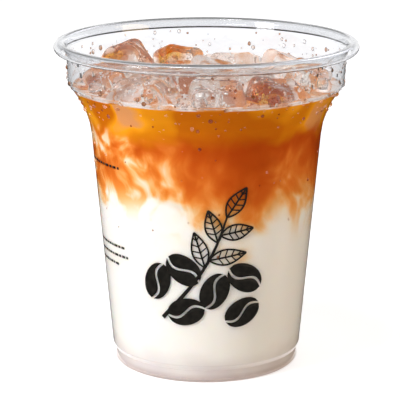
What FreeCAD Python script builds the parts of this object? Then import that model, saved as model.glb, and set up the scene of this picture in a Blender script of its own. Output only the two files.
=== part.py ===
import FreeCAD, Part

import math
import os

from FreeCAD import Vector

# An iced coffee in a clear cold-drink cup: a thin-walled cup with a rolled rim, a straight neck,
# a flared shoulder and a tapering body on a low foot. White milk fills the lower part, amber coffee
# lies over it along an uneven surface, and ice cubes float in the coffee with their tops in the air.
# Sizes are in millimetres, +Z is up, and the origin is the middle of the foot on the table.

# ---- Cup ----
cup_height = 106.0
rim_radius = 49.0
wall = 0.5

bead_depth = 3.5          # height of the rolled rim
bead_round = 1.72         # outer radius of the roll
bead_reach = 2.5          # how far the roll's hem comes back under the rim
crown_radius = 45.9       # where the wall meets the crown of the rim
crown_round = 0.9

neck_top_radius = 44.95
neck_bottom_radius = 44.5
neck_length = 10.1        # straight band under the rim
neck_round = 1.5
shoulder_drop = 8.3       # from the neck down to where shoulder and body lines meet
shoulder_width = 6.6
shoulder_round = 28.0     # the wide hollow curve of the shoulder
shoulder_edge_round = 2.0

body_bottom_radius = 30.8
foot_height = 5.9
groove_radius = 29.85     # stacking groove over the foot
groove_height = 4.4
foot_radius = 30.35
foot_round = 1.6
groove_round = 1.2
foot_ring_width = 3.6     # flat ring that the cup stands on, with its rounded edges
base_rise = 2.8           # the base panel stands clear of the table
base_slope_width = 3.6
base_round = 1.0

# ---- Drink ----
headspace = 15.0          # from the top of the rim down to the drink's level
milk_height = 63.0        # mean height of the milk's uneven top
plume_depth = 16.0        # how deep the coffee sinks into the milk at the front
plume_width = 15.0
plume_place = (8.0, -26.0)
back_plume_share = 0.7
swell_height = 3.2        # the slow waves of the milk's top
swell_length = 34.0
surface_grid = 15         # points each way through which the milk's top is drawn

# ---- Ice ----
ice_edge = 19.0
ice_melt = 0.22           # corner radius as a share of the cube's shortest edge
ice_gap = 0.4             # the least room between a cube and the cup's wall
# name, angle round the cup from the front, distance from the axis, cube's middle over the level,
# edge lengths as shares of ice_edge, and how far it is turned, tipped and rolled
ice_cubes = [
    ("ice_left", -81, 31.0, -1.0, (0.92, 0.70, 0.86), (6, 28, 8)),
    ("ice_front_left", -38, 31.0, -1.0, (1.12, 0.76, 0.80), (0, 28, -13)),
    ("ice_front", 5, 32.0, -1.0, (0.90, 0.70, 0.84), (5, 25, 4)),
    ("ice_front_right", 44, 30.5, -2.0, (0.98, 0.72, 0.82), (-8, 19, 11)),
    ("ice_right", 84, 31.5, -0.5, (0.88, 0.72, 0.84), (6, 28, -8)),
    ("ice_back_right", 122, 31.0, -1.0, (0.98, 0.74, 0.86), (8, 20, -10)),
    ("ice_back", 161, 31.0, -2.5, (0.90, 0.70, 0.84), (-7, 20, 6)),
    ("ice_back_mid", -162, 30.5, -0.5, (0.80, 0.72, 0.86), (11, 21, -12)),
    ("ice_back_left", -121, 30.5, 0.5, (0.96, 0.84, 0.98), (12, 24, 25)),
    ("ice_middle_left", -60, 10.5, -2.5, (0.92, 0.90, 0.94), (41, 13, -8)),
    ("ice_middle_right", 73, 12.0, -3.5, (0.86, 0.90, 0.92), (19, -13, 18)),
    ("ice_middle_back", 173, 13.0, -2.5, (0.84, 0.78, 0.90), (24, -8, -15)),
]


def turn_of(before, corner, after):
    """Signed turn of the outline at a corner, in radians, positive to the left."""
    first = math.atan2(corner[1] - before[1], corner[0] - before[0])
    second = math.atan2(after[1] - corner[1], after[0] - corner[0])
    return (second - first + math.pi) % (2 * math.pi) - math.pi


def moved_left(corners, distance):
    """The outline's corners for a line that runs beside it, distance to its left."""
    moved = []
    last = len(corners) - 1
    for i, (r, z, rounding) in enumerate(corners):
        before = corners[max(i - 1, 0)]
        after = corners[min(i + 1, last)]
        here = corners[i]
        into = math.atan2(here[1] - before[1], here[0] - before[0]) if i else None
        out = math.atan2(after[1] - here[1], after[0] - here[0]) if i < last else into
        into = out if into is None else into
        half = ((out - into + math.pi) % (2 * math.pi) - math.pi) / 2
        normal = into + half + math.pi / 2
        reach = distance / math.cos(half)
        side = 0.0
        if 0 < i < last:
            side = -distance if half > 0 else distance
        moved.append((r + reach * math.cos(normal), z + reach * math.sin(normal), rounding + side))
    return moved


def rounded_edges(corners):
    """Straight edges through the corners, in the XZ plane, joined by tangent arcs."""
    edges = []
    start = Vector(corners[0][0], 0, corners[0][1])
    for before, corner, after in zip(corners, corners[1:], corners[2:]):
        turn = turn_of(before, corner, after)
        rounding = corner[2]
        cut = rounding * math.tan(abs(turn) / 2)
        point = Vector(corner[0], 0, corner[1])
        back = (Vector(before[0], 0, before[1]) - point).normalize()
        ahead = (Vector(after[0], 0, after[1]) - point).normalize()
        entry = point + back * cut
        leave = point + ahead * cut
        centre_way = (back + ahead).normalize()
        centre = point + centre_way * (rounding / math.cos(abs(turn) / 2))
        middle = centre - centre_way * rounding
        edges.append(Part.LineSegment(start, entry).toShape())
        edges.append(Part.Arc(entry, middle, leave).toShape())
        start = leave
    edges.append(Part.LineSegment(start, Vector(corners[-1][0], 0, corners[-1][1])).toShape())
    return edges


def revolved(edges):
    face = Part.Face(Part.Wire(edges))
    return face.revolve(Vector(0, 0, 0), Vector(0, 0, 1), 360)


def outside_corners():
    """The cup's outer surface, from the middle of its base out, up and round inside the rolled rim."""
    neck_top = cup_height - bead_depth
    neck_bottom = neck_top - neck_length
    foot_inner = foot_radius - foot_ring_width
    return [
        (0.0, base_rise, 0.0),
        (foot_inner - base_slope_width, base_rise, base_round),
        (foot_inner, 0.0, base_round),
        (foot_radius, 0.0, foot_round),
        (groove_radius, groove_height, groove_round),
        (body_bottom_radius, foot_height, groove_round),
        (neck_bottom_radius - shoulder_width, neck_bottom - shoulder_drop, shoulder_round),
        (neck_bottom_radius, neck_bottom, shoulder_edge_round),
        (neck_top_radius, neck_top, neck_round),
        (crown_radius, cup_height - wall, crown_round),
        (rim_radius - wall, cup_height - wall, bead_round - wall),
        (rim_radius - wall, cup_height - bead_depth + wall, bead_round - wall),
        (rim_radius - bead_reach, cup_height - bead_depth + wall, 0.0),
    ]


def build_cup():
    outside = outside_corners()
    inside = moved_left(outside, wall)
    inside[0] = (0.0, inside[0][1], 0.0)
    edges = rounded_edges(outside)
    hem = Part.LineSegment(
        Vector(outside[-1][0], 0, outside[-1][1]), Vector(inside[-1][0], 0, inside[-1][1])
    ).toShape()
    axis = Part.LineSegment(
        Vector(0, 0, inside[0][1]), Vector(0, 0, outside[0][1])
    ).toShape()
    back = rounded_edges(inside)
    return revolved(Part.__sortEdges__(edges + [hem] + back + [axis]))


def cavity(clearance):
    """Everything inside the cup that keeps this far from its wall, up to the crown of the rim."""
    inside = moved_left(outside_corners(), wall + clearance)[:10]
    inside[0] = (0.0, inside[0][1], 0.0)
    top = inside[-1]
    edges = rounded_edges(inside)
    edges.append(Part.LineSegment(Vector(top[0], 0, top[1]), Vector(0, 0, top[1])).toShape())
    edges.append(Part.LineSegment(Vector(0, 0, top[1]), Vector(0, 0, inside[0][1])).toShape())
    return revolved(Part.__sortEdges__(edges))


def drink_space():
    return cavity(0.0).common(Part.makeCylinder(rim_radius, cup_height - headspace))


def milk_top(x, y):
    """Height of the milk's uneven top: slow swells, a deep coffee plume in front and one behind."""
    px, py = plume_place
    front = math.exp(-((x - px) ** 2 + (y - py) ** 2) / plume_width**2)
    behind = math.exp(-((x + px) ** 2 + (y + py) ** 2) / plume_width**2)
    wave = 2 * math.pi / swell_length
    swell = math.sin(wave * x + 0.6) * math.cos(wave * y * 0.8) + 0.5 * math.sin(wave * (x + 1.7 * y))
    return milk_height + swell_height * swell - plume_depth * (front + back_plume_share * behind)


def under_milk_top():
    """A block whose upper face is the milk's top."""
    reach = rim_radius + 2.0
    step = 2 * reach / (surface_grid - 1)
    places = [-reach + step * i for i in range(surface_grid)]
    surface = Part.BSplineSurface()
    surface.interpolate([[Vector(x, y, milk_top(x, y)) for y in places] for x in places])
    return surface.toShape().extrude(Vector(0, 0, -cup_height))


def build_ice(angle, distance, over_level, shares, turns):
    """One melted cube, its corners and edges rounded, set down in the drink."""
    sides = [ice_edge * share for share in shares]
    cube = Part.makeBox(*sides, Vector(*[-side / 2 for side in sides]))
    cube = cube.makeFillet(ice_melt * min(sides), cube.Edges)
    yaw, tip, roll = turns
    cube.rotate(Vector(0, 0, 0), Vector(1, 0, 0), tip)
    cube.rotate(Vector(0, 0, 0), Vector(0, 1, 0), roll)
    cube.rotate(Vector(0, 0, 0), Vector(0, 0, 1), yaw + angle)
    way = math.radians(angle)
    cube.translate(
        Vector(
            distance * math.sin(way),
            -distance * math.cos(way),
            cup_height - headspace + over_level,
        )
    )
    return cube


def largest(shape):
    return max(shape.Solids, key=lambda solid: solid.Volume)


def settled_ice():
    """All the cubes. One that would meet the wall or an earlier cube has melted back to it."""
    room = cavity(ice_gap)
    settled = {}
    for name, *place in ice_cubes:
        cube = build_ice(*place)
        if cube.cut(room).Volume > 0.01:
            cube = largest(cube.common(room))
        near = [other for other in settled.values() if cube.distToShape(other)[0] < 0.01]
        if near:
            cube = largest(cube.cut(near))
        settled[name] = cube
    return settled


def main():
    pieces = {"cup": build_cup()}
    drink = drink_space()
    block = under_milk_top()
    ice = settled_ice()
    pieces["milk"] = drink.common(block)
    pieces["coffee"] = drink.cut([block] + list(ice.values()))
    pieces.update(ice)
    os.makedirs("parts", exist_ok=True)
    for name, shape in pieces.items():
        solids = shape.Solids
        assert len(solids) == 1, f"{name} has {len(solids)} solids"
        solids[0].exportStep(f"parts/{name}.step")
        print(name, "volume %.0f mm3" % solids[0].Volume, "valid", solids[0].isValid())


main()
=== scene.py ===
import math
import random

import bmesh
import bpy
import numpy as np
from mathutils import Matrix, Vector, noise
from mathutils.bvhtree import BVHTree


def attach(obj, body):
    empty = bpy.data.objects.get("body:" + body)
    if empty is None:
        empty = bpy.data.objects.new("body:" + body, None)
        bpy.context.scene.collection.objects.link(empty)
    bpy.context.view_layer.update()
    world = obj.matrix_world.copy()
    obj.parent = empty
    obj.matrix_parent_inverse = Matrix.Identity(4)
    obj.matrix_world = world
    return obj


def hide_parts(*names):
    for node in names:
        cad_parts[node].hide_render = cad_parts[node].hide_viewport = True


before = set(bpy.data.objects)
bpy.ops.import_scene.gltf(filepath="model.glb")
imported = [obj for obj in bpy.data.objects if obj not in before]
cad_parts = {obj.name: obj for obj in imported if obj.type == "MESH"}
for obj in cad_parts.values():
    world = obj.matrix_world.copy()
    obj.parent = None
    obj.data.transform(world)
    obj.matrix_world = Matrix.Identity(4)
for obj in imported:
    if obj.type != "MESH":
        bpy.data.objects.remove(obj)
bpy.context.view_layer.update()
mm = 0.001
print("frame loaded")


def hexColour(code):
    # sRGB hex to the linear values that the shaders take
    values = [int(code[i:i + 2], 16) / 255 for i in (1, 3, 5)]
    return tuple(v / 12.92 if v <= 0.04045 else ((v + 0.055) / 1.055) ** 2.4 for v in values) + (1.0,)


def addNode(tree, kind, inputs=None, stops=None, **settings):
    # adds a node with its settings, inputs and colour stops, and links any input that is given as a socket
    node = tree.nodes.new(kind)
    for key, value in settings.items():
        setattr(node, key, value)
    for key, value in (inputs or {}).items():
        if isinstance(value, bpy.types.NodeSocket):
            tree.links.new(value, node.inputs[key])
        else:
            node.inputs[key].default_value = value
    if stops:
        elements = node.color_ramp.elements
        while len(elements) > 1:
            elements.remove(elements[0])
        elements[0].position = stops[0][0]
        elements[0].color = hexColour(stops[0][1])
        for place, code in stops[1:]:
            elements.new(place).color = hexColour(code)
    return node


def newMaterial(name, inputs):
    # a Principled material with the given constants set on its sockets
    material = bpy.data.materials.new(name)
    material.use_nodes = True
    shader = material.node_tree.nodes["Principled BSDF"]
    for key, value in inputs.items():
        shader.inputs[key].default_value = value
    return material, material.node_tree, shader


creaseAngle = math.radians(50)  # edges sharper than this are drawn as edges


def addObject(name, data):
    piece = bpy.data.objects.new(name, data)
    bpy.context.scene.collection.objects.link(piece)
    return piece


def makeObject(name, verts, faces, material, smooth=True):
    mesh = bpy.data.meshes.new(name)
    mesh.from_pydata([tuple(v) for v in verts], [], [tuple(f) for f in faces])
    mesh.validate()
    mesh.polygons.foreach_set("use_smooth", [smooth] * len(mesh.polygons))
    mesh.set_sharp_from_angle(angle=creaseAngle)
    mesh.materials.append(material)
    return addObject(name, mesh)


def addLoose(name, group, *materials):
    # one object from all the shapes in a bmesh
    mesh = bpy.data.meshes.new(name)
    group.to_mesh(mesh)
    group.free()
    mesh.polygons.foreach_set("use_smooth", [True] * len(mesh.polygons))
    for material in materials:
        mesh.materials.append(material)
    return addObject(name, mesh)


def bakeModifiers(piece):
    # puts what the modifiers make of the mesh in its place
    graph = bpy.context.evaluated_depsgraph_get()
    mesh = bpy.data.meshes.new_from_object(piece.evaluated_get(graph))
    piece.modifiers.clear()
    piece.data = mesh
    return mesh


def pointArray(mesh, kind="co"):
    # the places or normals of a mesh's points, a row for each
    values = np.empty(len(mesh.vertices) * 3)
    mesh.vertices.foreach_get(kind, values)
    return values.reshape(-1, 3)


# the cup's outline is the same as the CAD one; sizes are in millimetres
cupShape = {
    "height": 106.0, "wall": 0.5, "rim": 49.0, "beadDepth": 3.5, "beadRound": 1.72,
    "beadReach": 2.5, "crown": 45.9, "crownRound": 0.9, "neckTop": 44.95, "neckBottom": 44.5,
    "neckLength": 10.1, "neckRound": 1.5, "shoulderDrop": 8.3, "shoulderWidth": 6.6,
    "shoulderRound": 28.0, "shoulderEdge": 2.0, "bodyBottom": 30.8, "footHeight": 5.9,
    "groove": 29.85, "grooveHeight": 4.4, "grooveRound": 1.2, "foot": 30.35, "footRound": 1.6,
    "footRing": 3.6, "baseRise": 2.8, "baseSlope": 3.6, "baseRound": 1.0,
}
level = 91.0  # height of the drink's surface
sideStart = {"radius": 29.0, "height": 1.5}  # the side of the cup lies outside the one and over the other
drinkReach = 0.12  # how far the drink goes into the wall, so that no air gap shows


def outsideCorners(c=cupShape):
    # from the axis under the base, up the side and over the rim, each with its rounding
    neckTopZ = c["height"] - c["beadDepth"]
    neckBottomZ = neckTopZ - c["neckLength"]
    footInner = c["foot"] - c["footRing"]
    top = c["height"] - c["wall"]
    rim = c["rim"] - c["wall"]
    return [
        (0.0, c["baseRise"], 0.0),
        (footInner - c["baseSlope"], c["baseRise"], c["baseRound"]),
        (footInner, 0.0, c["baseRound"]),
        (c["foot"], 0.0, c["footRound"]),
        (c["groove"], c["grooveHeight"], c["grooveRound"]),
        (c["bodyBottom"], c["footHeight"], c["grooveRound"]),
        (c["neckBottom"] - c["shoulderWidth"], neckBottomZ - c["shoulderDrop"], c["shoulderRound"]),
        (c["neckBottom"], neckBottomZ, c["shoulderEdge"]),
        (c["neckTop"], neckTopZ, c["neckRound"]),
        (c["crown"], top, c["crownRound"]),
        (rim, top, c["beadRound"] - c["wall"]),
        (rim, c["height"] - c["beadDepth"] + c["wall"], c["beadRound"] - c["wall"]),
        (c["rim"] - c["beadReach"], c["height"] - c["beadDepth"] + c["wall"], 0.0),
    ]


def movedLeft(corners, distance):
    # the corners of a line that runs beside the outline, distance to its left
    moved = []
    last = len(corners) - 1
    for i, (r, z, rounding) in enumerate(corners):
        before, after = corners[max(i - 1, 0)], corners[min(i + 1, last)]
        into = math.atan2(z - before[1], r - before[0]) if i else None
        out = math.atan2(after[1] - z, after[0] - r) if i < last else into
        into = out if into is None else into
        half = ((out - into + math.pi) % (2 * math.pi) - math.pi) / 2
        reach = distance / math.cos(half)
        side = 0.0
        if 0 < i < last:
            side = -distance if half > 0 else distance
        angle = into + half + math.pi / 2
        moved.append((r + reach * math.cos(angle), z + reach * math.sin(angle), rounding + side))
    moved[0] = (0.0, moved[0][1], 0.0)
    return moved


def outlinePoints(corners, arcStep=9.0):
    # straight runs and tangent arcs through the corners, as points
    points = [np.array(corners[0][:2])]
    for before, corner, after in zip(corners, corners[1:], corners[2:]):
        p = np.array(corner[:2])
        back = np.array(before[:2]) - p
        ahead = np.array(after[:2]) - p
        back /= np.linalg.norm(back)
        ahead /= np.linalg.norm(ahead)
        turn = math.pi - math.acos(float(np.clip(back @ ahead, -1, 1)))
        cut = corner[2] * math.tan(turn / 2)
        bisector = (back + ahead) / np.linalg.norm(back + ahead)
        centre = p + bisector * corner[2] / math.cos(turn / 2)
        entry, leave = p + back * cut, p + ahead * cut
        steps = max(2, int(math.degrees(turn) / arcStep) + 1)
        for k in range(steps + 1):
            way = (entry - centre) * math.sin(turn * (1 - k / steps))
            way += (leave - centre) * math.sin(turn * k / steps)
            points.append(centre + way / math.sin(turn))
    points.append(np.array(corners[-1][:2]))
    return np.array(points)


outerCorners = outsideCorners()
outerLine = outlinePoints(outerCorners)
innerLine = outlinePoints(movedLeft(outerCorners, cupShape["wall"]))
fillLine = outlinePoints(movedLeft(outerCorners, cupShape["wall"] - drinkReach)[:10])  # up to the crown


def radiusAt(line, z):
    # the line's radius at a height on the cup's side
    side = line[(line[:, 0] > sideStart["radius"]) & (line[:, 1] > sideStart["height"])]
    return np.interp(z, side[:, 1], side[:, 0])


def flatRing(r, z, turns):
    # a level ring of points, or one point on the axis
    if r < 1e-6:
        return np.array([[0, 0, z]])
    angle = 2 * np.pi * np.arange(turns) / turns
    return np.stack([r * np.cos(angle), r * np.sin(angle), np.full(turns, z)], 1)


def skinRings(name, rings, material):
    # joins rings of equal count; a single point closes each end
    verts, faces, index = [], [], []
    for ring in rings:
        index.append(np.arange(len(verts), len(verts) + len(ring)))
        verts.extend(ring * mm)
    for low, high in zip(index, index[1:]):
        turns = max(len(low), len(high))
        for k in range(turns):
            n = (k + 1) % turns
            if len(low) == 1:
                faces.append((low[0], high[n], high[k]))
            elif len(high) == 1:
                faces.append((low[k], low[n], high[0]))
            else:
                faces.append((low[k], low[n], high[n], high[k]))
    return makeObject(name, verts, faces, material)


view = {"distance": 0.651, "elevation": 13.94, "lens": 179.1, "aimHeight": 0.05292, "aside": 0.186}


def setCamera():
    data = bpy.data.cameras.new("camera")
    data.lens = view["lens"]
    data.sensor_width = 36
    camera = addObject("camera", data)
    rise = math.radians(view["elevation"])
    camera.location = (
        0,
        -view["distance"] * math.cos(rise),
        view["aimHeight"] + view["distance"] * math.sin(rise),
    )
    camera.rotation_euler = (math.pi / 2 - rise, 0, math.radians(view["aside"]))
    bpy.context.scene.camera = camera
    bpy.context.scene.view_settings.view_transform = "Standard"


# in metres; a lamp has its place, size, watts, colour, and whether it shows in reflections, where
# the key and the back one would be blank patches in the clear wall, while the top one makes the sparkle
studio = {
    "horizon": 1.05, "overhead": 0.28,  # brightness of the backdrop level with the cup, and of the room above
    "fade": (0.09, 0.34),               # how steep the look up is, as a sine, while one turns into the other
    "floorReach": 1.2, "floorGlow": 0.62,
    "glowEdge": (0.9, 1.15),            # the sweep rises to full white over this, so no horizon shows
    "cardInside": 0.034, "cardOutside": 0.75, "cardHeight": 0.0002, "cardTurns": 48,
    "aim": (0, 0, 0.06),
    "lamps": {
        "keySoftbox": ((-0.75, -0.55, 0.55), (0.28, 0.4), 5.4, "#FFFFFF", False),
        "topSoftbox": ((-0.2, -0.2, 0.9), (0.16, 0.16), 1.1, "#FFFFFF", True),
        "backSoftbox": ((0.35, 0.8, 0.55), (0.5, 0.4), 1.3, "#F7F7FF", False),
        "warmFill": ((0.8, -0.35, 0.25), (0.4, 0.5), 1.3, "#FFDCA6", True),
    },
}


def addLamp(name, place, size, watts, code, mirrored):
    data = bpy.data.lights.new(name, "AREA")
    data.shape = "RECTANGLE"
    data.size, data.size_y = size
    data.energy = watts
    data.color = hexColour(code)[:3]
    lamp = addObject(name, data)
    lamp.location = place
    lamp.rotation_euler = (Vector(studio["aim"]) - Vector(place)).to_track_quat("-Z", "Y").to_euler()
    lamp.visible_glossy = mirrored


def setWorld():
    world = bpy.data.worlds.new("studio")
    bpy.context.scene.world = world
    world.use_nodes = True
    tree = world.node_tree
    coord = addNode(tree, "ShaderNodeTexCoord")
    split = addNode(tree, "ShaderNodeSeparateXYZ", {"Vector": coord.outputs["Generated"]})
    high = addNode(tree, "ShaderNodeMapRange", {
        "Value": split.outputs["Z"], "From Min": studio["fade"][0], "From Max": studio["fade"][1],
        "To Min": studio["horizon"], "To Max": studio["overhead"]}, interpolation_type="SMOOTHSTEP")
    background = tree.nodes["Background"]
    background.inputs["Color"].default_value = hexColour("#FFFFFF")
    tree.links.new(high.outputs["Result"], background.inputs["Strength"])


def makeSweep():
    # seamless sweep: matt painted board, pale, that reads as clean white
    material, tree, shader = newMaterial("paintedSweep", {
        "Base Color": hexColour("#EDEDED"), "Roughness": 0.9, "Specular IOR Level": 0.0,
        "Emission Color": hexColour("#FFFFFF")})
    coord = addNode(tree, "ShaderNodeTexCoord")
    away = addNode(tree, "ShaderNodeVectorMath", {0: coord.outputs["Object"]}, operation="LENGTH")
    glow = addNode(tree, "ShaderNodeMapRange", {
        "Value": away.outputs["Value"], "From Min": studio["glowEdge"][0], "From Max": studio["glowEdge"][1],
        "To Min": studio["floorGlow"], "To Max": 1.0})
    tree.links.new(glow.outputs["Result"], shader.inputs["Emission Strength"])
    reach = studio["floorReach"]
    corners = [(-reach, -reach, 0), (reach, -reach, 0), (reach, reach, 0), (-reach, reach, 0)]
    floor = makeObject("floor", corners, [(0, 1, 2, 3)], material)


def makeFlagCard():
    # black card round the cup, seen only in reflections, keeps white glare off the clear wall
    material = newMaterial("blackFlock", {
        "Base Color": hexColour("#101010"), "Roughness": 1.0, "Specular IOR Level": 0.0})[0]
    turns = studio["cardTurns"]
    verts, faces = [], []
    for k in range(turns):
        a = 2 * math.pi * k / turns
        for r in (studio["cardInside"], studio["cardOutside"]):
            verts.append((r * math.cos(a), r * math.sin(a), studio["cardHeight"]))
        n = (k + 1) % turns
        faces.append((2 * k, 2 * k + 1, 2 * n + 1, 2 * n))
    ring = makeObject("flagCard", verts, faces, material, smooth=False)
    ring.visible_camera = ring.visible_diffuse = ring.visible_transmission = ring.visible_shadow = False


setCamera()
setWorld()
for name, lamp in studio["lamps"].items():
    addLamp(name, *lamp)
makeSweep()
makeFlagCard()
print("camera and studio set")


def lampsThrough(tree, shader):
    # lets lamp light into the drink, which a refracting skin would otherwise hold back
    path = addNode(tree, "ShaderNodeLightPath")
    clear = addNode(tree, "ShaderNodeBsdfTransparent")
    mixed = addNode(tree, "ShaderNodeMixShader", {
        0: path.outputs["Is Shadow Ray"], 1: shader.outputs[0], 2: clear.outputs[0]})
    tree.links.new(mixed.outputs[0], tree.nodes["Material Output"].inputs["Surface"])


petLook = {"turns": 224, "wave": 9, "waveDepth": 0.05, "waveStretch": (1, 1, 0.25)}


def clearPet():
    # thermoformed PET sheet: glossy, water-clear, with faint draw waves that bend what is behind it
    material, tree, shader = newMaterial("thermoformedPet", {
        "Base Color": hexColour("#F3F4F6"), "Roughness": 0.02, "IOR": 1.57, "Transmission Weight": 1.0})
    coord = addNode(tree, "ShaderNodeTexCoord")
    stretch = addNode(tree, "ShaderNodeMapping", {
        "Vector": coord.outputs["Object"], "Scale": petLook["waveStretch"]})
    wave = addNode(tree, "ShaderNodeTexNoise", {
        "Vector": stretch.outputs[0], "Scale": 1 / (petLook["wave"] * mm), "Detail": 1.0})
    bump = addNode(tree, "ShaderNodeBump", {
        "Height": wave.outputs["Fac"], "Distance": petLook["waveDepth"] * mm, "Strength": 0.5})
    tree.links.new(bump.outputs[0], shader.inputs["Normal"])
    lampsThrough(tree, shader)
    return material


petRings = [flatRing(r, z, petLook["turns"]) for r, z in np.vstack([outerLine, innerLine[::-1]])]
cupShell = skinRings("cupShell", petRings, clearPet())
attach(cupShell, "root")
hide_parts("cup")
print("cup made")


milkShape = {"height": 63.0, "plumeDepth": 16.0, "plumeWidth": 15.0, "plume": (8.0, -26.0),
             "backShare": 0.7, "swell": 3.2, "swellLength": 34.0}


def milkTop(x, y, m=milkShape):
    # height of the milk's uneven top, the same as the CAD one
    px, py = m["plume"]
    front = np.exp(-((x - px) ** 2 + (y - py) ** 2) / m["plumeWidth"] ** 2)
    behind = np.exp(-((x + px) ** 2 + (y + py) ** 2) / m["plumeWidth"] ** 2)
    k = 2 * math.pi / m["swellLength"]
    swell = np.sin(k * x + 0.6) * np.cos(k * y * 0.8) + 0.5 * np.sin(k * (x + 1.7 * y))
    return m["height"] + m["swell"] * swell - m["plumeDepth"] * (front + m["backShare"] * behind)


def sideRing(t, low, high, angle):
    z = low + (high - low) * t
    r = radiusAt(fillLine, z)
    return np.stack([r * np.cos(angle), r * np.sin(angle), z], 1)


def wallTop(angle):
    # where the milk's top meets the wall: its height there sets its radius, found in a few rounds
    z = np.full(len(angle), milkShape["height"])
    for _ in range(12):
        r = radiusAt(fillLine, z)
        z = milkTop(r * np.cos(angle), r * np.sin(angle))
    return z


def smoothStep(value, low, high):
    t = np.clip((value - low) / (high - low), 0, 1)
    return t * t * (3 - 2 * t)


# angles in degrees round from the front
layerLook = {
    # the sink on the right, at 72, is partly painted shade: it puts more brown on the side turned from the key
    # lamp
    "sinks": [(72, 18, 8), (-42, 20, -3), (-74, 14, 4)],  # middle, width, mm that the layers sit lower there
    "front": (-40, 4),                                    # the coffee turns pure between these
    "thinner": [(40, 70, 0.1), (95, 130, 0.7)],           # and loses this share of it between these
    "back": (196, 48),                                    # middle and width of the pure part behind
}


def markHeights(piece):
    # stores, at each corner of the mesh, how far it is over the milk's top, shifted round the side and on the
    # right partly by painted shade, and how pure the coffee is
    mesh = piece.data
    x, y, z = (pointArray(mesh) / mm).T
    angle = np.degrees(np.arctan2(x, -y))
    sunk = sum(deep * np.exp(-((angle - middle) / width) ** 2) for middle, width, deep in layerLook["sinks"])
    front = smoothStep(angle, *layerLook["front"])
    for low, high, share in layerLook["thinner"]:
        front = front * (1 - share * smoothStep(angle, low, high))
    middle, width = layerLook["back"]
    back = np.exp(-(((angle + 360) % 360 - middle) / width) ** 2)
    over = z - milkTop(x, y) + sunk
    mesh.attributes.new("overMilk", "FLOAT", "POINT").data.foreach_set("value", over)
    mesh.attributes.new("pureCoffee", "FLOAT", "POINT").data.foreach_set("value", np.maximum(front, back))


# sizes and lifts in millimetres
drinkLook = {
    "patternShift": (22, 44, 53),  # the stretch of the pattern that is used
    "curl": 22, "curlPush": 26,    # size of the slow curl, and how far it bends the finer patterns
    "cloud": 17, "cloudLift": 48.0,
    "wisp": 6.5, "wispLift": 30.0, "wispStretch": (1, 1, 0.45),
    "curd": 6, "curdLift": 16.0, "curdMiddle": 0.45,
    "overShare": (0.42, 1.0), "driftShare": (1.2, 0.5),  # where the coffee is least and most pure
    "pureLift": 4.0, "mostOver": 8.0, "leastShare": 0.6, "leastUnder": -9.0,
    "layerSpan": (-10.0, 30.0),
    "layers": [(0.14, "#F6F2EC"), (0.24, "#F6E6D0"), (0.30, "#F6D3A4"), (0.37, "#F3B566"),
               (0.46, "#EA9038"), (0.60, "#D86C20"), (0.80, "#C85A14"), (1.0, "#BE4E0E")],
    "facet": 15, "amber": [(0.15, "#D2780F"), (0.40, "#E39414"), (0.70, "#F6AE24"), (0.92, "#E3A66C")],
    "amberFrom": 77, "amberFull": 84, "amberSwing": 14,
    "foot": [(1.5, 11.0, "#D9CECC"), (0.2, 3.0, "#B39C94")], "footShare": 0.8,
}


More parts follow.
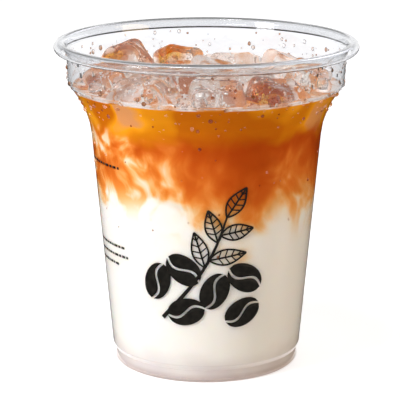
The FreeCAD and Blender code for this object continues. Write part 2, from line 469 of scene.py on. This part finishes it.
def drinkMaterial(name):
    # milk that sinks and curls into espresso: soft-edged clouds, cream to burnt orange, amber on top
    look = drinkLook
    material, tree, shader = newMaterial(name, {
        "Roughness": 0.3, "IOR": 1.34, "Specular IOR Level": 0.02, "Subsurface Weight": 0.35,
        "Subsurface Radius": (1.0, 0.7, 0.45), "Subsurface Scale": 2.0 * mm})
    place = addNode(tree, "ShaderNodeTexCoord").outputs["Object"]
    height = addNode(tree, "ShaderNodeSeparateXYZ", {"Vector": place}).outputs["Z"]
    over = addNode(tree, "ShaderNodeAttribute", attribute_name="overMilk").outputs["Fac"]
    pure = addNode(tree, "ShaderNodeAttribute", attribute_name="pureCoffee").outputs["Fac"]
    # slow curl that bends every finer pattern
    shift = tuple(v * mm for v in look["patternShift"])
    moved = addNode(tree, "ShaderNodeVectorMath", {0: place, 1: shift}, operation="ADD").outputs[0]
    curl = addNode(tree, "ShaderNodeTexNoise", {
        "Vector": moved, "Scale": 1 / (look["curl"] * mm), "Detail": 2.0})
    centred = addNode(tree, "ShaderNodeVectorMath", {
        0: curl.outputs["Color"], 1: (0.5, 0.5, 0.5)}, operation="SUBTRACT").outputs[0]
    push = addNode(tree, "ShaderNodeVectorMath", {
        0: centred, "Scale": look["curlPush"] * mm}, operation="SCALE").outputs[0]
    bent = addNode(tree, "ShaderNodeVectorMath", {0: moved, 1: push}, operation="ADD").outputs[0]
    cloud = addNode(tree, "ShaderNodeTexNoise", {
        "Vector": bent, "Scale": 1 / (look["cloud"] * mm), "Detail": 3.0, "Roughness": 0.5}).outputs["Fac"]
    upright = addNode(tree, "ShaderNodeMapping", {"Vector": bent, "Scale": look["wispStretch"]}).outputs[0]
    wisp = addNode(tree, "ShaderNodeTexNoise", {
        "Vector": upright, "Scale": 1 / (look["wisp"] * mm), "Detail": 4.0, "Roughness": 0.55}).outputs["Fac"]
    curd = addNode(tree, "ShaderNodeTexVoronoi", {
        "Vector": bent, "Scale": 1 / (look["curd"] * mm), "Smoothness": 0.5, "Randomness": 1.0},
        feature="SMOOTH_F1").outputs["Distance"]
    # the patterns lift and sink the layers, within bounds, and most where the coffee is least pure
    drift = 0.0
    for pattern, usual, lift in (
            (cloud, 0.5, look["cloudLift"]), (wisp, 0.5, look["wispLift"]),
            (curd, look["curdMiddle"], look["curdLift"])):
        swing = addNode(tree, "ShaderNodeMath", {0: pattern, 1: usual}, operation="SUBTRACT").outputs[0]
        drift = addNode(tree, "ShaderNodeMath", {
            0: swing, 1: lift, 2: drift}, operation="MULTIPLY_ADD").outputs[0]
    shares = []
    for low, high in (look["overShare"], look["driftShare"]):
        shares.append(addNode(tree, "ShaderNodeMapRange", {
            "Value": pure, "To Min": low, "To Max": high}).outputs["Result"])
    drift = addNode(tree, "ShaderNodeMath", {0: drift, 1: shares[1]}, operation="MULTIPLY").outputs[0]
    layer = addNode(tree, "ShaderNodeMath", {
        0: over, 1: shares[0], 2: drift}, operation="MULTIPLY_ADD").outputs[0]
    layer = addNode(tree, "ShaderNodeMath", {
        0: pure, 1: look["pureLift"], 2: layer}, operation="MULTIPLY_ADD").outputs[0]
    most = addNode(tree, "ShaderNodeMath", {0: over, 1: look["mostOver"]}, operation="ADD").outputs[0]
    least = addNode(tree, "ShaderNodeMath", {
        0: over, 1: look["leastShare"], 2: look["leastUnder"]}, operation="MULTIPLY_ADD").outputs[0]
    layer = addNode(tree, "ShaderNodeMath", {0: layer, 1: most}, operation="MINIMUM").outputs[0]
    layer = addNode(tree, "ShaderNodeMath", {0: layer, 1: least}, operation="MAXIMUM").outputs[0]
    scaled = addNode(tree, "ShaderNodeMapRange", {
        "Value": layer, "From Min": look["layerSpan"][0], "From Max": look["layerSpan"][1]}).outputs["Result"]
    layers = addNode(tree, "ShaderNodeValToRGB", {"Fac": scaled}, look["layers"])
    layers.color_ramp.interpolation = "B_SPLINE"
    # amber on top, broken by the ice just under the surface
    facet = addNode(tree, "ShaderNodeTexVoronoi", {
        "Vector": bent, "Scale": 1 / (look["facet"] * mm), "Smoothness": 0.6, "Randomness": 0.9},
        feature="SMOOTH_F1")
    glow = addNode(tree, "ShaderNodeSeparateColor", {"Color": facet.outputs["Color"]}).outputs[0]
    amber = addNode(tree, "ShaderNodeValToRGB", {"Fac": glow}, look["amber"])
    swing = addNode(tree, "ShaderNodeMath", {0: cloud, 1: 0.5}, operation="SUBTRACT").outputs[0]
    clouded = addNode(tree, "ShaderNodeMath", {
        0: swing, 1: look["amberSwing"] * mm, 2: height}, operation="MULTIPLY_ADD").outputs[0]
    share = addNode(tree, "ShaderNodeMapRange", {
        "Value": clouded, "From Min": look["amberFrom"] * mm, "From Max": look["amberFull"] * mm},
        interpolation_type="SMOOTHSTEP").outputs["Result"]
    # in a Mix node socket 0 is the share, 6 and 7 are the two colours, and output 2 is the mixed one
    drink = addNode(tree, "ShaderNodeMix", {
        0: share, 6: layers.outputs["Color"], 7: amber.outputs["Color"]}, data_type="RGBA").outputs[2]
    # a mauve-grey mist where the thick foot of the cup shades the milk, darkest at the very bottom
    for source, (low, high, code) in zip((clouded, height), look["foot"]):
        share = addNode(tree, "ShaderNodeMapRange", {
            "Value": source, "From Min": low * mm, "From Max": high * mm,
            "To Min": look["footShare"], "To Max": 0.0}).outputs["Result"]
        drink = addNode(tree, "ShaderNodeMix", {
            0: share, 6: drink, 7: hexColour(code)}, data_type="RGBA").outputs[2]
    tree.links.new(drink, shader.inputs["Base Color"])
    return material


drinkShape = {
    "turns": 240, "milkRows": 50, "coffeeRows": 70, "floorRings": 5, "floorFrom": 4,
    "footTop": 20,                                                  # the foot's outline ends under this
    "shares": (0.97, 0.9, 0.8, 0.68, 0.55, 0.42, 0.3, 0.18, 0.08),  # rings of the milk's top, from wall to axis
    "meniscus": 0.6, "meniscusReach": 1.0,                          # the coffee climbs the wall a little
    "besideWall": (0.7, 1.3, 2.2, 3.5), "topRadii": (36.0, 31.0, 25.0, 18.0, 11.0, 5.0),
}
drinkAngles = 2 * np.pi * np.arange(drinkShape["turns"]) / drinkShape["turns"]


def milkTopRings(edge):
    # the milk's top, from the wall in to the axis
    rings = []
    for share in drinkShape["shares"]:
        x, y = edge[:, 0] * share, edge[:, 1] * share
        rings.append(np.stack([x, y, milkTop(x, y)], 1))
    return rings + [flatRing(0, milkTop(0.0, 0.0), 1)]


def makeMilk():
    turns = drinkShape["turns"]
    foot = fillLine[fillLine[:, 1] < drinkShape["footTop"]]
    foot = foot[:np.argmax(foot[:, 1]) + 1]
    inner = np.linspace(drinkShape["floorFrom"], foot[1, 0], drinkShape["floorRings"])[:-1]
    rings = [flatRing(r, foot[0, 1], turns) for r in (0, *inner)]
    rings += [flatRing(r, z, turns) for r, z in foot[1:]]
    top = wallTop(drinkAngles)
    for t in np.linspace(0, 1, drinkShape["milkRows"])[1:]:
        rings.append(sideRing(t, foot[-1, 1], top, drinkAngles))
    return skinRings("milkBody", rings + milkTopRings(rings[-1]), drinkMaterial("steamedMilk"))


def makeCoffee():
    foot = wallTop(drinkAngles)
    top = level + drinkShape["meniscus"]
    side = [sideRing(t, foot, top, drinkAngles) for t in np.linspace(0, 1, drinkShape["coffeeRows"])]
    rings = milkTopRings(side[0])[::-1] + side
    edge = float(radiusAt(fillLine, level))
    for r in [edge - step for step in drinkShape["besideWall"]] + list(drinkShape["topRadii"]):
        lift = drinkShape["meniscus"] * math.exp(-(edge - r) / drinkShape["meniscusReach"])
        rings.append(flatRing(r, level + lift, drinkShape["turns"]))
    rings.append(flatRing(0, level, 1))
    return skinRings("coffeeBody", rings, drinkMaterial("icedEspresso"))


def pooled(tree, place, colour, pools, code):
    # turns the colour to another one near the given places
    for x, y, z, reach in pools:
        away = addNode(tree, "ShaderNodeVectorMath", {
            0: place, 1: (x * mm, y * mm, z * mm)}, operation="DISTANCE").outputs["Value"]
        share = addNode(tree, "ShaderNodeMapRange", {
            "Value": away, "From Min": reach * 0.6 * mm, "From Max": reach * mm,
            "To Min": 1.0, "To Max": 0.0}).outputs["Result"]
        colour = addNode(tree, "ShaderNodeMix", {
            0: share, 6: colour, 7: hexColour(code)}, data_type="RGBA").outputs[2]
    return colour


filmLook = {
    "patch": 11,  # size of the pale and brown patches
    "tones": [(0.35, "#B0662F"), (0.41, "#E3B898"), (0.46, "#F6EDEA"),
              (0.54, "#EFDFD6"), (0.58, "#E0A468"), (0.62, "#DB840E")],
    "pools": [(17, -24, 86, 14), (-32, 12, 87, 13), (30, 8, 88, 9)],  # where it is deeper: x, y, z, reach
    "onTop": 0.02, "under": 9.0, "offWall": 0.5,  # it reaches this far down, but not this close to the wall
}


def thinFilm():
    # coffee in a thin wet film round the ice: pale and pinkish, shining, with amber where it is deeper
    material, tree, shader = newMaterial("espressoFilm", {
        "Roughness": 0.08, "IOR": 1.34, "Specular IOR Level": 0.5})
    place = addNode(tree, "ShaderNodeTexCoord").outputs["Object"]
    patch = addNode(tree, "ShaderNodeTexNoise", {
        "Vector": place, "Scale": 1 / (filmLook["patch"] * mm), "Detail": 3.0, "Distortion": 0.6})
    tone = addNode(tree, "ShaderNodeValToRGB", {"Fac": patch.outputs["Fac"]}, filmLook["tones"])
    film = pooled(tree, place, tone.outputs["Color"], filmLook["pools"], "#DC860C")
    tree.links.new(film, shader.inputs["Base Color"])
    return material


milkBody = makeMilk()
markHeights(milkBody)
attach(milkBody, "root")
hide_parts("milk")
coffeeBody = makeCoffee()
print("milk and coffee made")


iceLook = {
    "voxel": 0.55, "even": 0.5, "evenings": 6,             # the remeshing, and the smoothing after it
    "hollow": 0.9, "hollowPower": 1.5, "cornerShare": 92,  # faces sink, the farthest points stay
    "lump": 0.55, "lumpSize": 7.0, "lumpJump": 900,        # the jump gives each cube lumps of its own
    "dent": 0.08, "dentSize": 2.6,
    "pitGap": 0.08,                                        # the cube reaches this far into the coffee
    "splash": 9, "ripple": 2.5, "rippleDepth": 0.25,
    "amber": [(-34, 10, 99, 11), (18, -32, 92, 9), (-12, 27, 96, 7), (-37, -8, 92, 6)],  # x, y, z, reach
}


def clearIce():
    # machine ice, melting: wet and clear, with a rippled skin, and stained where coffee has run over it
    material, tree, shader = newMaterial("machineIce", {
        "Roughness": 0.03, "IOR": 1.31, "Transmission Weight": 0.93})
    place = addNode(tree, "ShaderNodeTexCoord").outputs["Object"]
    splash = addNode(tree, "ShaderNodeTexNoise", {
        "Vector": place, "Scale": 1 / (iceLook["splash"] * mm), "Detail": 2.0})
    tone = addNode(tree, "ShaderNodeValToRGB", {"Fac": splash.outputs["Fac"]}, [
        (0.30, "#D9B59A"), (0.40, "#FBF8F6"), (0.62, "#FCFAF9"), (0.70, "#EED2B4")])
    stained = pooled(tree, place, tone.outputs["Color"], iceLook["amber"], "#D07A16")
    tree.links.new(stained, shader.inputs["Base Color"])
    ripple = addNode(tree, "ShaderNodeTexNoise", {
        "Vector": place, "Scale": 1 / (iceLook["ripple"] * mm), "Detail": 2.0})
    bump = addNode(tree, "ShaderNodeBump", {
        "Height": ripple.outputs["Fac"], "Distance": iceLook["rippleDepth"] * mm, "Strength": 0.6})
    tree.links.new(bump.outputs[0], shader.inputs["Normal"])
    lampsThrough(tree, shader)
    return material


iceMaterial = clearIce()


def meltedCube(node, name):
    # the CAD cube remeshed, its faces sunk a little and its skin made lumpy by melting
    piece = addObject(name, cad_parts[node].data.copy())
    remesh = piece.modifiers.new("remesh", "REMESH")
    remesh.mode = "VOXEL"
    remesh.voxel_size = iceLook["voxel"] * mm
    even = piece.modifiers.new("even", "SMOOTH")
    even.factor, even.iterations = iceLook["even"], iceLook["evenings"]
    mesh = bakeModifiers(piece)
    co, normals = pointArray(mesh), pointArray(mesh, "normal")
    middle = (co.max(0) + co.min(0)) / 2
    reach = np.linalg.norm(co - middle, axis=1)
    corner = np.percentile(reach, iceLook["cornerShare"])
    near = np.clip((corner - reach) / (corner - reach.min()), 0, 1)
    jump = Vector(middle * iceLook["lumpJump"])
    lumps = np.array([noise.noise(Vector(p / (iceLook["lumpSize"] * mm)) + jump) for p in co])
    dents = np.array([noise.noise(Vector(p / (iceLook["dentSize"] * mm))) for p in co])
    depth = iceLook["hollow"] * near ** iceLook["hollowPower"]
    depth = depth + iceLook["lump"] * (0.5 + 0.5 * lumps) + iceLook["dent"] * dents
    mesh.vertices.foreach_set("co", (co - normals * (depth * mm)[:, None]).ravel())
    mesh.polygons.foreach_set("use_smooth", [True] * len(mesh.polygons))
    mesh.materials.clear()
    mesh.materials.append(iceMaterial)
    mesh.update()
    return piece


iceNodes = sorted(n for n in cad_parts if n.startswith("ice"))
cubes = []
pitShapes = bmesh.new()  # slightly smaller cubes, to cut the coffee with
for node in iceNodes:
    cube = meltedCube(node, node.replace("_", ".") + ".melted")
    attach(cube, "root")
    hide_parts(node)
    cubes.append(cube)
    pit = cube.data.copy()
    pit.vertices.foreach_set(
        "co", (pointArray(pit) - pointArray(pit, "normal") * iceLook["pitGap"] * mm).ravel())
    pit.update()
    pitShapes.from_mesh(pit)
print("ice made:", len(iceNodes))


heartShape = {
    "seed": 5, "count": 130, "small": 0.16, "large": 0.5, "fewLarge": 2,
    "spread": 0.14, "most": 2.0,  # as a share of the cube, and cut off at this many times the spread
}


def makeHeart(cube, name, rng):
    # the cloud of tiny air bubbles frozen into a cube's middle
    co = pointArray(cube.data)
    middle, spans = (co.max(0) + co.min(0)) / 2, co.max(0) - co.min(0)
    group = bmesh.new()
    small, most = heartShape["small"], heartShape["most"]
    for _ in range(heartShape["count"]):
        away = [max(-most, min(most, rng.gauss(0, 1))) * heartShape["spread"] * span for span in spans]
        radius = small + (heartShape["large"] - small) * rng.random() ** heartShape["fewLarge"]
        place = Matrix.Translation(Vector(middle) + Vector(away))
        bmesh.ops.create_icosphere(group, subdivisions=1, radius=radius * mm, matrix=place)
    return addLoose(name, group, airMaterial)


# bubbles too small to see singly, which scatter light and read as white mist in the ice
airMaterial = newMaterial("trappedAir", {
    "Base Color": hexColour("#FFFFFF"), "Roughness": 0.5, "IOR": 1.2, "Transmission Weight": 0.25})[0]
rng = random.Random(heartShape["seed"])
for cube in cubes:
    heart = makeHeart(cube, cube.name.replace("melted", "heart"), rng)
    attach(heart, "root")
print("cloudy hearts made")


chipShape = {
    "seed": 11, "count": 26, "tries": 1500, "small": 2.2, "large": 4.2,
    "radius": (37.5, 40.6), "wall": 43.2, "lift": (-0.6, 2.8),  # where they float, clear of the wall
    "toCube": 0.75, "toChip": 0.85,                             # room to the next piece, as a share of the size
    "tilt": 0.5, "sides": [(0.8, 1.15), (0.65, 0.95), (0.55, 0.85)],
    "square": 0.55, "melt": (0.86, 0.12), "meltSize": 1.7,      # how cube-like, and how unevenly melted
    "meltJump": 3.1,                                            # gives each chip lumps of its own
}


def makeChips():
    # slivers of melting ice in the gaps between the cubes and the wall
    rng = random.Random(chipShape["seed"])
    group = bmesh.new()
    for cube in cubes:
        group.from_mesh(cube.data)
    tree = BVHTree.FromBMesh(group)
    group.free()
    chips = bmesh.new()
    placed = []
    for _ in range(chipShape["tries"]):
        if len(placed) == chipShape["count"]:
            break
        a = rng.uniform(0, 2 * math.pi)
        size = rng.uniform(chipShape["small"], chipShape["large"])
        r = min(rng.uniform(*chipShape["radius"]), chipShape["wall"] - size)
        spot = Vector((r * math.cos(a), r * math.sin(a), level + rng.uniform(*chipShape["lift"]))) * mm
        if tree.find_nearest(spot)[3] / mm < size * chipShape["toCube"]:
            continue
        if any((spot - p).length < (size + q) * chipShape["toChip"] * mm for p, q in placed):
            continue
        placed.append((spot, size))
        turn = Matrix.Rotation(rng.uniform(0, 6.28), 4, "Z")
        turn = turn @ Matrix.Rotation(rng.uniform(-chipShape["tilt"], chipShape["tilt"]), 4, "X")
        shape = turn @ Matrix.Diagonal([size * rng.uniform(*span) * mm for span in chipShape["sides"]] + [1])
        shift = Vector((len(placed) * chipShape["meltJump"], 0, 0))
        whole, uneven = chipShape["melt"]
        for vert in bmesh.ops.create_icosphere(chips, subdivisions=4, radius=1.0)["verts"]:
            # a cube-like lump: the sphere pushed towards its corners, then melted unevenly
            co = vert.co.normalized()
            co *= 1 / max(abs(co.x), abs(co.y), abs(co.z)) ** chipShape["square"]
            co *= whole + uneven * noise.noise(co * chipShape["meltSize"] + shift)
            vert.co = spot + (shape @ co.to_4d()).to_3d()
    return addLoose("iceChips", chips, iceMaterial), len(placed)


iceChips, chipCount = makeChips()
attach(iceChips, "root")
print("ice chips:", chipCount)

pitCutter = addLoose("pitCutter", pitShapes)
cut = coffeeBody.modifiers.new("pits", "BOOLEAN")
cut.operation, cut.solver, cut.object = "DIFFERENCE", "EXACT", pitCutter
carved = bakeModifiers(coffeeBody)
bpy.data.objects.remove(pitCutter)
carved.polygons.foreach_set("use_smooth", [True] * len(carved.polygons))
carved.set_sharp_from_angle(angle=creaseAngle)
markHeights(coffeeBody)
carved.materials.append(thinFilm())
for face in carved.polygons:
    # the film is on the top and in the pits, but not on the outside just under the level
    c = face.center / mm
    inside = math.hypot(c.x, c.y) < float(radiusAt(fillLine, c.z)) - filmLook["offWall"]
    if c.z > level - filmLook["onTop"] or (c.z > level - filmLook["under"] and inside):
        face.material_index = 1
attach(coffeeBody, "root")
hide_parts("coffee")
print("coffee carved for the ice, faces:", len(carved.polygons))


def printInk():
    # screen-printed UV ink: near-black, satin, with the faint mottle of the mesh it was pushed through
    material, tree, shader = newMaterial("screenInk", {"Roughness": 0.45, "Specular IOR Level": 0.2})
    coord = addNode(tree, "ShaderNodeTexCoord")
    mottle = addNode(tree, "ShaderNodeTexNoise", {
        "Vector": coord.outputs["Object"], "Scale": 1 / (printShape["mottle"] * mm), "Detail": 2.0})
    tone = addNode(tree, "ShaderNodeValToRGB", {"Fac": mottle.outputs["Fac"]}, [
        (0.35, "#171512"), (0.7, "#24211C")])
    tree.links.new(tone.outputs["Color"], shader.inputs["Base Color"])
    return material


# sizes in mm; places are the distance round the wall from the print's middle, and the height
printShape = {
    "lift": 0.03, "thick": 0.07, "wrap": 34.0, "line": 0.55, "mottle": 1.5,
    "bean": (6.4, 4.5), "slit": 0.42, "slitBend": 0.30,  # half length and half width, half slit
    "beanEnd": 0.997, "beanGrid": (26, 5),               # short of the tip, where the halves would be flat
    "leafWidth": 5.0, "leafPower": 0.85, "leafSteps": 22, "leafLean": (58, 48), "midrib": 0.96,
    "veins": (0.25, 0.42, 0.59, 0.76), "veinSlant": 0.10, "veinReach": 0.95, "veinLine": 0.7,
    "stemFrom": (-13, 22), "stemOver": (21, 34), "stemBow": 3.5, "stemSteps": 30, "stemWidths": (1.4, 0.6),
    # along the stem, side, length
    "leaves": [(0.52, 1, 12), (0.62, -1, 12), (0.76, 1, 11), (0.84, -1, 10.5), (1.0, 0, 11)],
    # place and turn
    "beans": [(-14.5, 34.0, 70), (-5.0, 24.5, 12), (-5.5, 38.5, -38),
              (4.5, 31.5, 62), (14.5, 35.5, -30), (14.0, 24.0, 25)],
    "dashes": (1.5, 0.8, 1.9, 1.1), "dashGap": 0.65, "dashHeight": 0.75,
    # start, end, height
    "rows": [(-46, -27, 69.0), (-45, -29, 42.5), (-45, -27, 39.5), (-45, -31, 36.5)],
}


class Decal:
    # flat artwork in (distance round the wall, height), wrapped on the cup's outer wall
    def __init__(self, turn):
        self.turn = math.radians(turn)
        self.verts, self.faces = [], []

    def grid(self, rows):
        # rows of points of equal count, each (arc, height)
        first = len(self.verts)
        wide = len(rows[0])
        for row in rows:
            for arc, z in row:
                r = float(radiusAt(outerLine, z)) + printShape["lift"]
                a = arc / printShape["wrap"] + self.turn
                self.verts.append((r * math.sin(a) * mm, -r * math.cos(a) * mm, z * mm))
        for i in range(len(rows) - 1):
            for j in range(wide - 1):
                v = first + i * wide + j
                self.faces.append((v, v + 1, v + wide + 1, v + wide))

    def ribbon(self, points, width):
        # a line of the given width, or widths, along the points
        points = np.array(points, float)
        along = np.gradient(points, axis=0)
        along /= np.linalg.norm(along, axis=1)[:, None]
        side = np.stack([-along[:, 1], along[:, 0]], 1) * np.atleast_1d(width)[:, None] / 2
        self.grid([[tuple(p - d), tuple(p), tuple(p + d)] for p, d in zip(points, side)])

    def bean(self, arc, z, turn):
        # two halves with the bent slit between them
        long, wide = printShape["bean"]
        end, (along, across) = printShape["beanEnd"], printShape["beanGrid"]
        c, s = math.cos(math.radians(turn)), math.sin(math.radians(turn))
        for side in (-1, 1):
            rows = []
            for u in np.linspace(-end, end, along):
                edge = side * wide * math.sqrt(1 - u * u)
                slit = printShape["slitBend"] * wide * math.sin(math.pi * u)
                slit += side * printShape["slit"]
                slit = max(slit, edge) if side < 0 else min(slit, edge)
                row = []
                for t in np.linspace(0, 1, across):
                    v = slit + (edge - slit) * t
                    row.append((arc + u * long * c - v * s, z + u * long * s + v * c))
                rows.append(row)
            self.grid(rows)

    def leaf(self, arc, z, turn, long):
        # an outline, slanting veins and a midrib
        c, s = math.cos(math.radians(turn)), math.sin(math.radians(turn))
        wide, power, slant = printShape["leafWidth"], printShape["leafPower"], printShape["veinSlant"]

        def at(u, v):
            return (arc + u * c - v * s, z + u * s + v * c)

        steps = np.linspace(0, 1, printShape["leafSteps"])
        for side in (-1, 1):
            edge = [at(long * t, side * wide / 2 * math.sin(math.pi * t ** power)) for t in steps]
            self.ribbon(edge, printShape["line"])
            for t in printShape["veins"]:
                reach = side * wide / 2 * math.sin(math.pi * (t + slant) ** power)
                vein = [at(long * (t + slant * k), reach * k * printShape["veinReach"])
                        for k in np.linspace(0, 1, 5)]
                self.ribbon(vein, printShape["line"] * printShape["veinLine"])
        self.ribbon([at(long * t * printShape["midrib"], 0) for t in steps], printShape["line"])

    def finish(self, name, material):
        piece = makeObject(name, self.verts, self.faces, material)
        solid = piece.modifiers.new("thickness", "SOLIDIFY")
        solid.thickness = printShape["thick"] * mm
        solid.offset = 0
        mesh = bakeModifiers(piece)
        work = bmesh.new()
        work.from_mesh(mesh)
        bmesh.ops.recalc_face_normals(work, faces=work.faces)
        work.to_mesh(mesh)
        work.free()
        return piece


def drawSprig(decal):
    (arc, z), (across, rise) = printShape["stemFrom"], printShape["stemOver"]
    stem = [(arc + across * t + printShape["stemBow"] * math.sin(math.pi * t), z + rise * t)
            for t in np.linspace(0, 1, printShape["stemSteps"])]
    decal.ribbon(stem, np.linspace(*printShape["stemWidths"], len(stem)))
    lean, spread = printShape["leafLean"]
    for t, side, long in printShape["leaves"]:
        arc, z = stem[int(t * (len(stem) - 1))]
        decal.leaf(arc, z, lean + side * spread, long)
    for arc, z, turn in printShape["beans"]:
        decal.bean(arc, z, turn)


def drawDashes(decal, start, end, z):
    # a row of dashes of a few lengths, with no lettering
    arc, k = start, 0
    while arc < end:
        wide = printShape["dashes"][k % len(printShape["dashes"])]
        decal.ribbon([(arc, z), (arc + wide, z)], printShape["dashHeight"])
        arc += wide + printShape["dashGap"]
        k += 1


ink = printInk()
for side, turn in (("front", -3), ("back", 177)):
    sprig = Decal(turn)
    drawSprig(sprig)
    for row in printShape["rows"]:
        drawDashes(sprig, *row)
    piece = sprig.finish("print." + side, ink)
    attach(piece, "root")
print("print made")


wetShape = {
    "seed": 7, "small": 0.3, "large": 0.85, "fewLarge": 2.6,
    "flat": 0.75, "apart": 0.15, "stretch": (0.95, 1.25),
    "sunk": 0.05,                      # how far the foot of a drop goes into the wall
    "turns": 14, "rows": (0.0, 0.35, 0.75, 1.15),
    "coffeeTraceAndShade": 3, "quiver": 0.8, "quiverDepth": 0.03,
    "meanRadius": 42, "slopeStep": 0.4,
    "neck": (420, 84.0, 101.8, 1.0),   # how many drops, from and to which height, and their share of the size
    "body": (55, 40.0, 84.0, 0.7), "bodyCrowd": 1.6,  # more of them high up
}


def waterDrops():
    # condensed water: small lenses that throw a bright and a dark spot, the dark one deepened by painted shade
    # in a brown tint
    material, tree, shader = newMaterial("condensedWater", {
        "Roughness": 0.01, "IOR": 1.33, "Transmission Weight": 1.0})
    place = addNode(tree, "ShaderNodeTexCoord").outputs["Object"]
    # a brown tint in some drops, partly a trace of coffee and partly painted shade that gives them dark spots
    coffeeTraceAndShade = addNode(tree, "ShaderNodeTexNoise", {"Vector": place, "Scale": 1 / (wetShape["coffeeTraceAndShade"] * mm)})
    tint = addNode(tree, "ShaderNodeValToRGB", {"Fac": coffeeTraceAndShade.outputs["Fac"]}, [
        (0.40, "#B98765"), (0.50, "#F7EFEA"), (0.6, "#FFFFFF")])
    tree.links.new(tint.outputs["Color"], shader.inputs["Base Color"])
    quiver = addNode(tree, "ShaderNodeTexNoise", {"Vector": place, "Scale": 1 / (wetShape["quiver"] * mm)})
    bump = addNode(tree, "ShaderNodeBump", {
        "Height": quiver.outputs["Fac"], "Distance": wetShape["quiverDepth"] * mm, "Strength": 0.4})
    tree.links.new(bump.outputs[0], shader.inputs["Normal"])
    lampsThrough(tree, shader)
    return material


def addDrop(verts, faces, angle, z, size, stretch):
    # a flattened dome on the outer wall, its foot just inside it
    r = float(radiusAt(outerLine, z))
    step = wetShape["slopeStep"]
    slope = float(radiusAt(outerLine, z + step) - radiusAt(outerLine, z - step)) / (2 * step)
    out = Vector((math.sin(angle), -math.cos(angle), -slope)) / math.hypot(1, slope)
    sideways = Vector((math.cos(angle), math.sin(angle), 0))
    up = out.cross(sideways)
    centre = Vector((r * math.sin(angle), -r * math.cos(angle), z))
    first, turns, sunk = len(verts), wetShape["turns"], wetShape["sunk"]
    rows = [(1.0, -sunk)] + [(math.cos(h), wetShape["flat"] * math.sin(h)) for h in wetShape["rows"]]
    for reach, height in rows:
        for k in range(turns):
            a = 2 * math.pi * k / turns
            across = size * reach * math.cos(a)
            along = size * reach * math.sin(a) * stretch
            lift = height * size if height > 0 else height
            verts.append(tuple((centre + sideways * across + up * along + out * lift) * mm))
    verts.append(tuple((centre + out * size * wetShape["flat"]) * mm))
    verts.append(tuple((centre - out * sunk) * mm))
    top, bottom = len(verts) - 2, len(verts) - 1
    last = first + (len(rows) - 1) * turns
    for i in range(len(rows) - 1):
        for k in range(turns):
            n = (k + 1) % turns
            a, b = first + i * turns, first + (i + 1) * turns
            faces.append((a + k, a + n, b + n, b + k))
    for k in range(turns):
        n = (k + 1) % turns
        faces.append((last + k, last + n, top))
        faces.append((first + n, first + k, bottom))


def makeCondensation():
    rng = random.Random(wetShape["seed"])
    verts, faces, placed = [], [], []
    small = wetShape["small"]
    for zone in ("neck", "body"):
        count, low, high, scale = wetShape[zone]
        made = 0
        while made < count:
            angle = rng.uniform(-math.pi, math.pi)
            if zone == "neck":
                z = rng.uniform(low, high)
            else:
                z = high - (high - low) * rng.random() ** wetShape["bodyCrowd"]
            size = small + (wetShape["large"] - small) * rng.random() ** wetShape["fewLarge"]
            size *= scale
            spot = Vector((math.sin(angle), -math.cos(angle), 0)) * wetShape["meanRadius"] + Vector((0, 0, z))
            if any((spot - other).length < size + much + wetShape["apart"] for other, much in placed):
                continue
            placed.append((spot, size))
            addDrop(verts, faces, angle, z, size, rng.uniform(*wetShape["stretch"]))
            made += 1
    return makeObject("condensation", verts, faces, waterDrops())


condensation = makeCondensation()
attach(condensation, "root")
print("condensation made")
